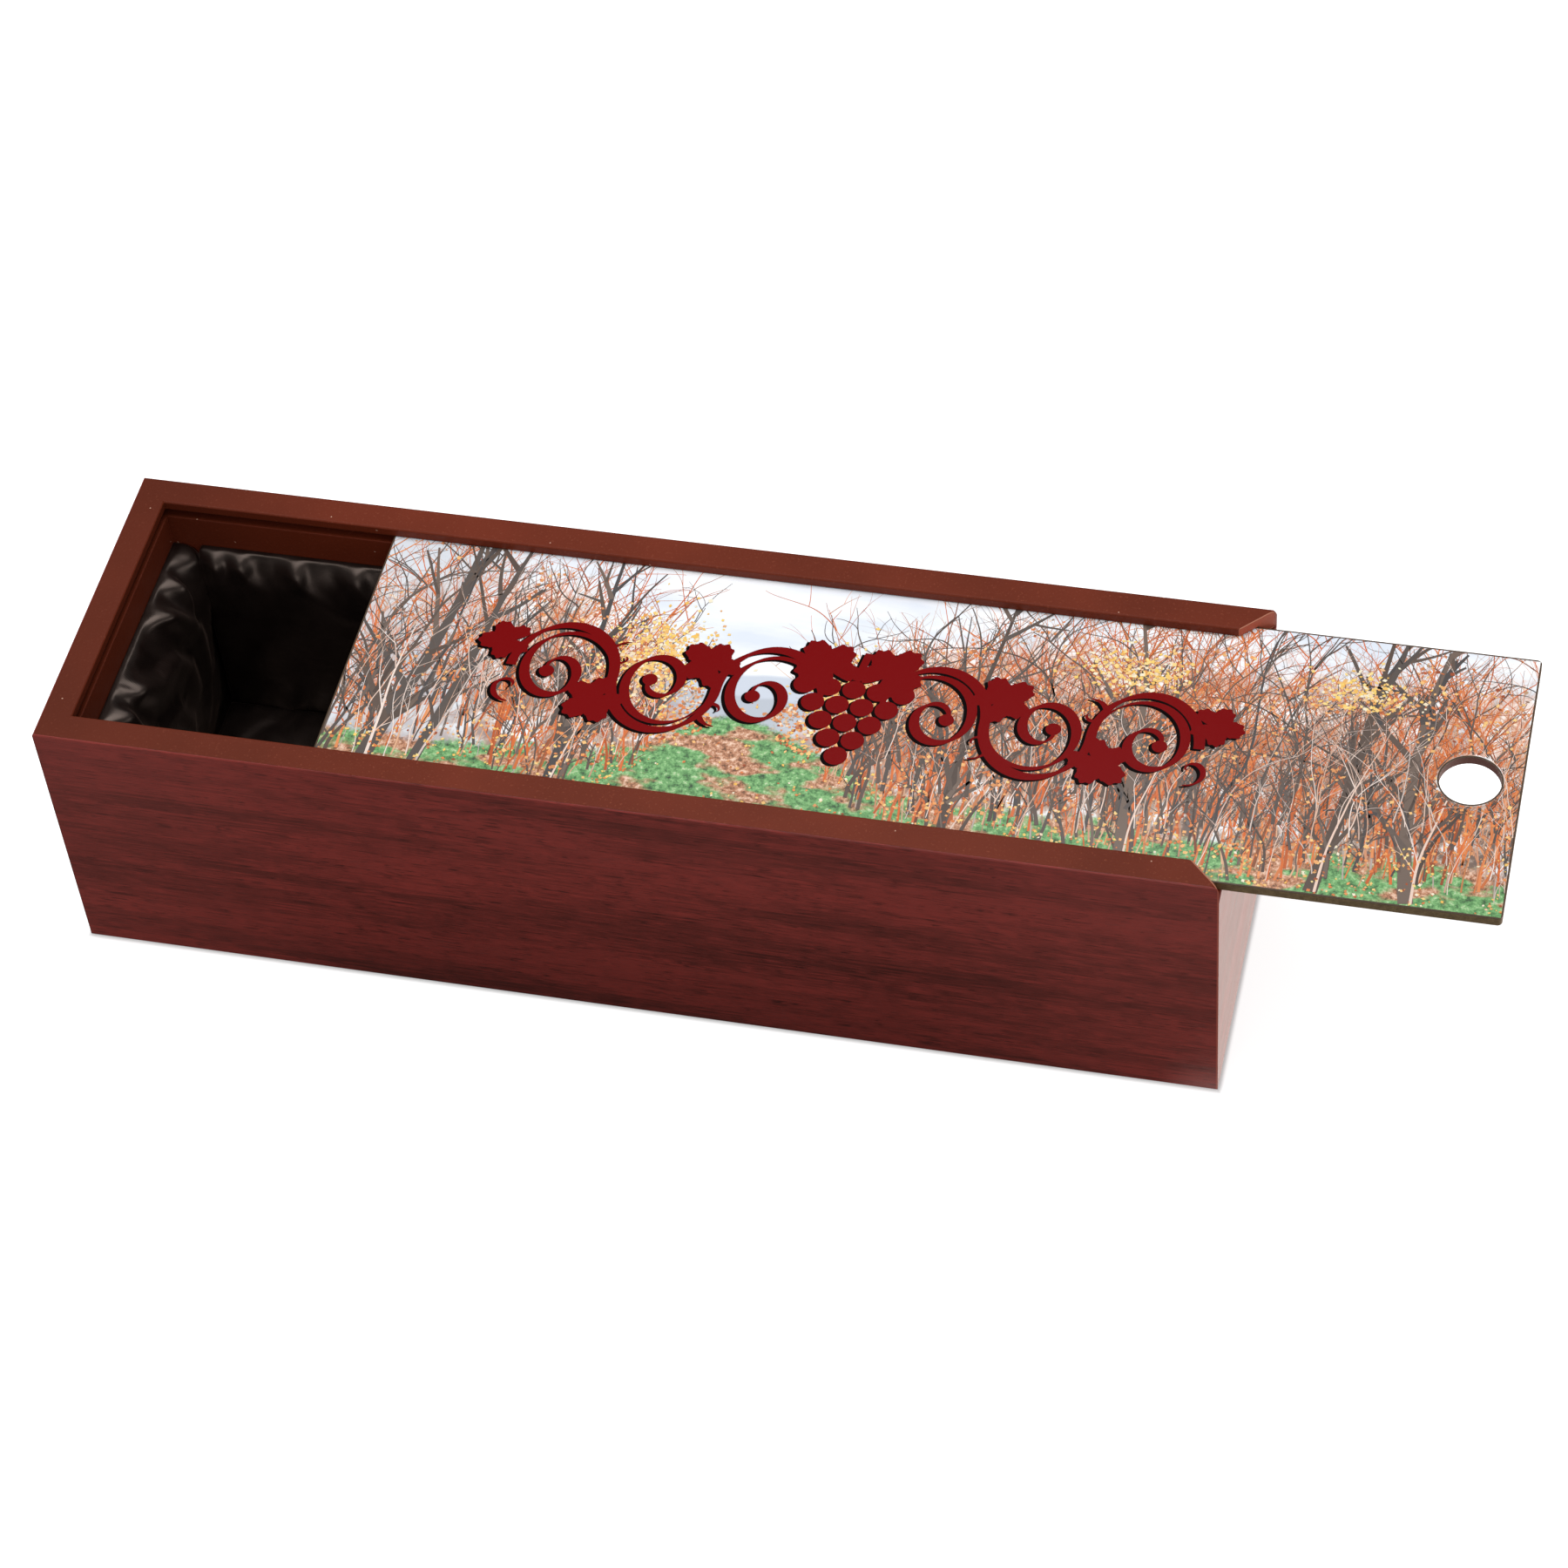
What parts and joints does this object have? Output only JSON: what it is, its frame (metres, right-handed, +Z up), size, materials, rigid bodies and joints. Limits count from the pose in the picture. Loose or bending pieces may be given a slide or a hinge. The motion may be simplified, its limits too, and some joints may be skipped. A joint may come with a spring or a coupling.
{
  "type": "wooden wine box with sliding lid",
  "caption": "Long mitred wooden box for a wine bottle, with a grooved sliding lid, a finger hole and a gathered satin lining; shown part open.",
  "frame": {"origin": "centre of the box's underside", "axes": "+X along the box towards the open end, the way the lid slides out; +Y towards the rear; +Z up"},
  "size_m": [0.4346, 0.108, 0.0953],
  "materials": {
    "painted_board": "satin paint on fibreboard",
    "bottom_board": "bare hardboard",
    "laminate": "satin rosewood laminate",
    "greyboard": "bare greyboard",
    "wadding": "polyester wadding",
    "satin": "black satin",
    "hardboard": "bare hardboard edge",
    "lid_print": "gloss printed coat"
  },
  "bodies": {
    "box": {"front_side": "painted_board", "rear_side": "painted_board", "closed_end": "painted_board", "open_end": "painted_board", "bottom_panel": "bottom_board", "front_laminate": "laminate", "rear_laminate": "laminate", "closed_end_laminate": "laminate", "open_end_laminate": "laminate", "floor_greyboard": "greyboard", "front_greyboard": "greyboard", "rear_greyboard": "greyboard", "closed_end_greyboard": "greyboard", "open_end_greyboard": "greyboard", "floor_wadding": "wadding", "front_wadding": "wadding", "rear_wadding": "wadding", "closed_end_wadding": "wadding", "open_end_wadding": "wadding", "floor_satin": "satin", "front_satin": "satin", "rear_satin": "satin", "closed_end_satin": "satin", "open_end_satin": "satin"},
    "lid": {"lid_panel": "hardboard", "lid_print": "lid_print"}
  },
  "joints": [
    {"name": "lid_slide", "type": "slide", "parent": "box", "child": "lid", "axis": [1, 0, 0], "range_m": [-0.079, 0.272]}
  ]
}
